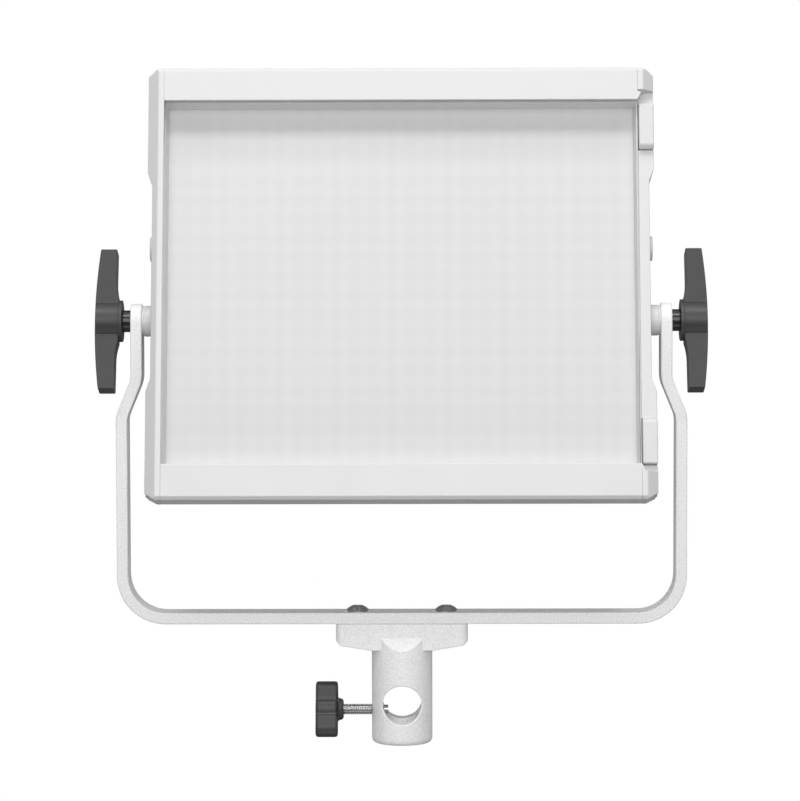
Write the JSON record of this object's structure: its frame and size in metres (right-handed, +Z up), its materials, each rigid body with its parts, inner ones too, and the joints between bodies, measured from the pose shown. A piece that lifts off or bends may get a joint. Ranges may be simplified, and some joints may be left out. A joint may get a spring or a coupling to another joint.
{
  "type": "led panel light",
  "caption": "Rectangular LED panel light with a white extruded frame and opal diffuser, tilting in a flat-bar yoke on a stand socket with a thumb-screw clamp.",
  "frame": {"origin": "centre of the stand socket's mouth, at the bottom of the socket post", "axes": "+Z up the socket's bore, -Y the way the light shines (the head leans back 13 degrees at rest), +X to the right as seen from in front of the light"},
  "size_m": [0.3516, 0.0952, 0.3892],
  "materials": {
    "silver_coat": "fine speckled silver-white powder coat over metal",
    "white_coat": "smooth satin white powder coat",
    "white_plastic": "satin moulded plastic",
    "grip_plastic": "fine-textured glass-filled nylon",
    "black_plastic": "satin black moulded plastic",
    "housing_plastic": "fine-textured dark grey moulded plastic",
    "button_plastic": "satin light grey moulded plastic",
    "zinc_steel": "bright zinc-plated steel",
    "chrome": "polished",
    "brass": "satin",
    "diffuser_acrylic": "opal white frosted acrylic",
    "circuit_board": "green solder mask",
    "led_board_white": "white solder mask",
    "led_phosphor": "yellow phosphor in a white package",
    "bare_aluminium": "bare, extruded",
    "display_glass": "black glossy cover"
  },
  "bodies": {
    "yoke": {"yoke_bracket": "silver_coat", "stand_socket": "silver_coat", "yoke_bolts": "chrome"},
    "clamp_tip": {"clamp_tip": "zinc_steel"},
    "clamp_screw": {"clamp_screw": "zinc_steel", "clamp_knob": "grip_plastic"},
    "head": {"top_rail": "white_coat", "bottom_rail": "white_coat", "left_end_cap": "white_coat", "right_end_cap": "white_coat", "end_cap_screws": "zinc_steel", "left_pivot_boss": "white_coat", "right_pivot_boss": "white_coat", "friction_washers": "white_plastic", "side_plugs": "white_coat", "upper_latch_spring": "zinc_steel", "lower_latch_spring": "zinc_steel", "front_bezel": "white_plastic", "diffuser": "diffuser_acrylic", "light_box": "white_plastic", "led_board": "led_board_white", "led_chips": "led_phosphor", "heat_sink": "bare_aluminium", "fan_frame": "black_plastic", "driver_board": "circuit_board", "driver_parts": "black_plastic", "rear_shell": "white_coat", "rear_screws": "zinc_steel", "control_housing": "housing_plastic", "housing_screws": "zinc_steel", "control_board": "circuit_board", "encoders": "black_plastic", "display_window": "display_glass", "switch_frame": "black_plastic", "power_inlet": "black_plastic", "usb_port": "zinc_steel", "left_battery_plate": "housing_plastic", "right_battery_plate": "housing_plastic", "battery_contacts": "brass", "left_release_spring": "zinc_steel", "right_release_spring": "zinc_steel"},
    "left_spacer": {"left_spacer": "black_plastic"},
    "left_knob": {"left_stud": "zinc_steel", "left_handle": "grip_plastic"},
    "right_spacer": {"right_spacer": "black_plastic"},
    "right_knob": {"right_stud": "zinc_steel", "right_handle": "grip_plastic"},
    "upper_latch": {"upper_latch": "white_plastic"},
    "lower_latch": {"lower_latch": "white_plastic"},
    "fan_rotor": {"fan_rotor": "black_plastic"},
    "left_dial": {"left_dial": "black_plastic"},
    "centre_dial": {"centre_dial": "black_plastic"},
    "right_dial": {"right_dial": "black_plastic"},
    "upper_button": {"upper_button": "button_plastic"},
    "middle_button": {"middle_button": "button_plastic"},
    "lower_button": {"lower_button": "button_plastic"},
    "power_rocker": {"power_rocker": "black_plastic"},
    "left_release": {"left_release": "button_plastic"},
    "right_release": {"right_release": "button_plastic"}
  },
  "joints": [
    {"name": "head_tilt", "type": "hinge", "parent": "yoke", "child": "head", "pos_m": [0, 0, 0.2442], "axis": [1, 0, 0], "range_deg": [-150, 150]},
    {"name": "clamp_travel", "type": "slide", "parent": "yoke", "child": "clamp_tip", "axis": [-1, 0, 0], "range_m": [0, 0.00507]},
    {"name": "clamp_turn", "type": "hinge", "parent": "clamp_tip", "child": "clamp_screw", "pos_m": [-0.03, 0, 0.0191], "axis": [-1, 0, 0], "range_deg": [0, 1440]},
    {"name": "left_knob_travel", "type": "slide", "parent": "head", "child": "left_spacer", "axis": [-1, 0, 0], "range_m": [0, 0.00156]},
    {"name": "left_knob_turn", "type": "hinge", "parent": "left_spacer", "child": "left_knob", "pos_m": [-0.165, 0, 0.2442], "axis": [-1, 0, 0], "range_deg": [0, 450]},
    {"name": "right_knob_travel", "type": "slide", "parent": "head", "child": "right_spacer", "axis": [1, 0, 0], "range_m": [0, 0.00156]},
    {"name": "right_knob_turn", "type": "hinge", "parent": "right_spacer", "child": "right_knob", "pos_m": [0.165, 0, 0.2442], "axis": [1, 0, 0], "range_deg": [0, 450]},
    {"name": "upper_latch_press", "type": "slide", "parent": "head", "child": "upper_latch", "axis": [0, 0.9744, -0.225], "range_m": [0, 0.0043], "stiffness_N_per_m": 300, "springref_m": -0.003, "deforming": ["upper_latch_spring"]},
    {"name": "lower_latch_press", "type": "slide", "parent": "head", "child": "lower_latch", "axis": [0, 0.9744, -0.225], "range_m": [0, 0.0043], "stiffness_N_per_m": 300, "springref_m": -0.003, "deforming": ["lower_latch_spring"]},
    {"name": "fan_spin", "type": "hinge", "parent": "head", "child": "fan_rotor", "pos_m": [0, 0.02392, 0.30025], "axis": [0, 0.9744, -0.225], "continuous": true},
    {"name": "left_dial_turn", "type": "hinge", "parent": "head", "child": "left_dial", "pos_m": [-0.03, 0.01213, 0.1634], "axis": [0, 0.9744, -0.225], "continuous": true},
    {"name": "centre_dial_turn", "type": "hinge", "parent": "head", "child": "centre_dial", "pos_m": [0, 0.01213, 0.1634], "axis": [0, 0.9744, -0.225], "continuous": true},
    {"name": "right_dial_turn", "type": "hinge", "parent": "head", "child": "right_dial", "pos_m": [0.03, 0.01213, 0.1634], "axis": [0, 0.9744, -0.225], "continuous": true},
    {"name": "upper_button_press", "type": "slide", "parent": "head", "child": "upper_button", "axis": [0, -0.9744, 0.225], "range_m": [0, 0.0008], "stiffness_N_per_m": 400, "springref_m": -0.001},
    {"name": "middle_button_press", "type": "slide", "parent": "head", "child": "middle_button", "axis": [0, -0.9744, 0.225], "range_m": [0, 0.0008], "stiffness_N_per_m": 400, "springref_m": -0.001},
    {"name": "lower_button_press", "type": "slide", "parent": "head", "child": "lower_button", "axis": [0, -0.9744, 0.225], "range_m": [0, 0.0008], "stiffness_N_per_m": 400, "springref_m": -0.001},
    {"name": "power_rocker_tilt", "type": "hinge", "parent": "head", "child": "power_rocker", "pos_m": [-0.05, 0.01581, 0.20155], "axis": [1, 0, 0], "range_deg": [-16, 0]},
    {"name": "left_release_press", "type": "slide", "parent": "head", "child": "left_release", "axis": [0, -0.9744, 0.225], "range_m": [0, 0.002], "stiffness_N_per_m": 400, "springref_m": -0.001, "deforming": ["left_release_spring"]},
    {"name": "right_release_press", "type": "slide", "parent": "head", "child": "right_release", "axis": [0, -0.9744, 0.225], "range_m": [0, 0.002], "stiffness_N_per_m": 400, "springref_m": -0.001, "deforming": ["right_release_spring"]}
  ],
  "couplings": [
    {"joint": "clamp_turn", "follows": "clamp_travel", "rad_per_m": 4947.4},
    {"joint": "left_knob_turn", "follows": "left_knob_travel", "rad_per_m": 5026.6},
    {"joint": "right_knob_turn", "follows": "right_knob_travel", "rad_per_m": 5026.6}
  ]
}
